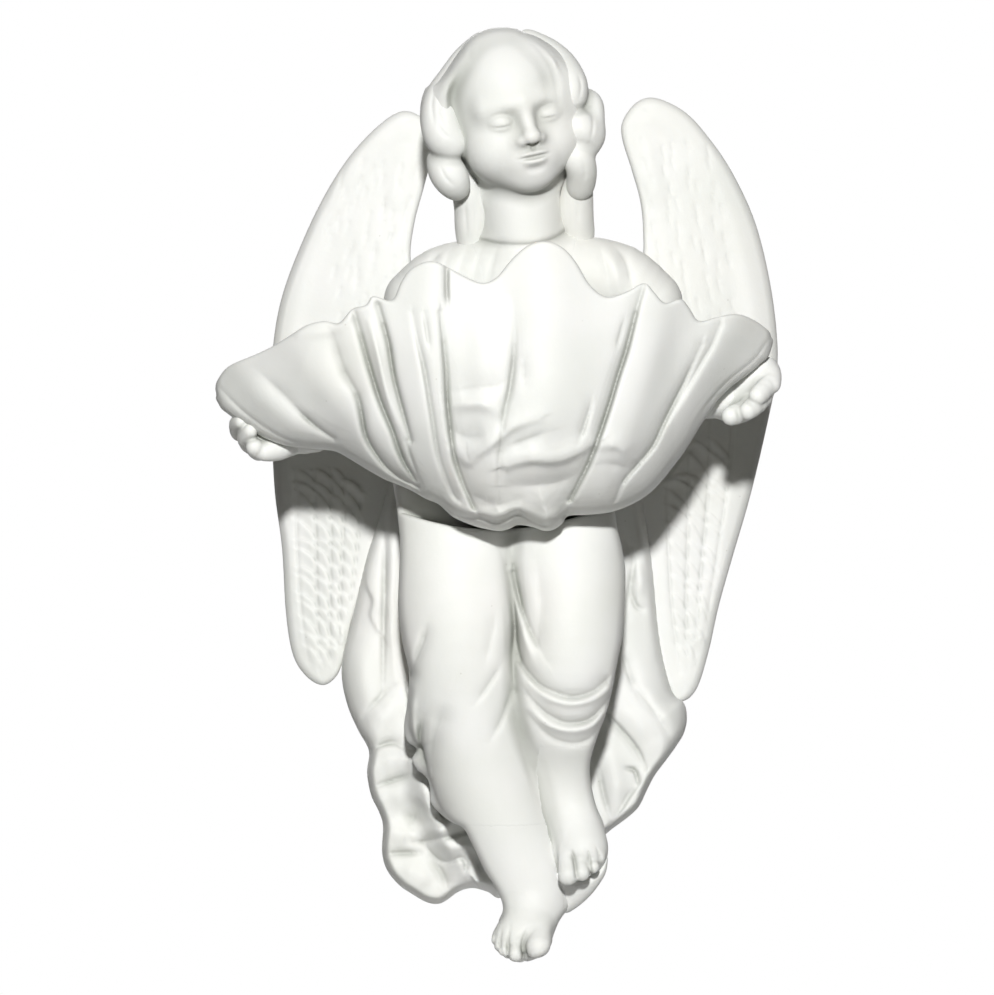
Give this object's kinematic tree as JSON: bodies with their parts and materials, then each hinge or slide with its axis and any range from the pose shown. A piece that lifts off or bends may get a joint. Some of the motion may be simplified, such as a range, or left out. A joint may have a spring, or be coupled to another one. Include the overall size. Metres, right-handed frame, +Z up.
{
  "type": "holy water stoup",
  "caption": "Wall-hung holy water stoup: a winged child angel in a long robe holds a wide fluted shell basin out from the wall, cast in white biscuit porcelain.",
  "frame": {"origin": "centre of the hanging hole on the wall plane (the back plate's back face)", "axes": "+Z up, +X to the right of somebody who faces the stoup, +Y into the wall"},
  "size_m": [0.1807, 0.1102, 0.2982],
  "materials": {
    "biscuit_porcelain": "unglazed satin biscuit porcelain"
  },
  "bodies": {
    "root": {"back_plate": "biscuit_porcelain", "mantle": "biscuit_porcelain", "torso": "biscuit_porcelain", "robe_skirt": "biscuit_porcelain", "wing_left": "biscuit_porcelain", "wing_right": "biscuit_porcelain", "head": "biscuit_porcelain", "side_curls_left": "biscuit_porcelain", "side_curls_right": "biscuit_porcelain", "ringlet_left": "biscuit_porcelain", "ringlet_right": "biscuit_porcelain", "sleeve_left": "biscuit_porcelain", "sleeve_right": "biscuit_porcelain", "hand_left": "biscuit_porcelain", "hand_right": "biscuit_porcelain", "shell_basin": "biscuit_porcelain", "leg_front": "biscuit_porcelain", "leg_rear": "biscuit_porcelain", "foot_ledge": "biscuit_porcelain"}
  },
  "joints": []
}
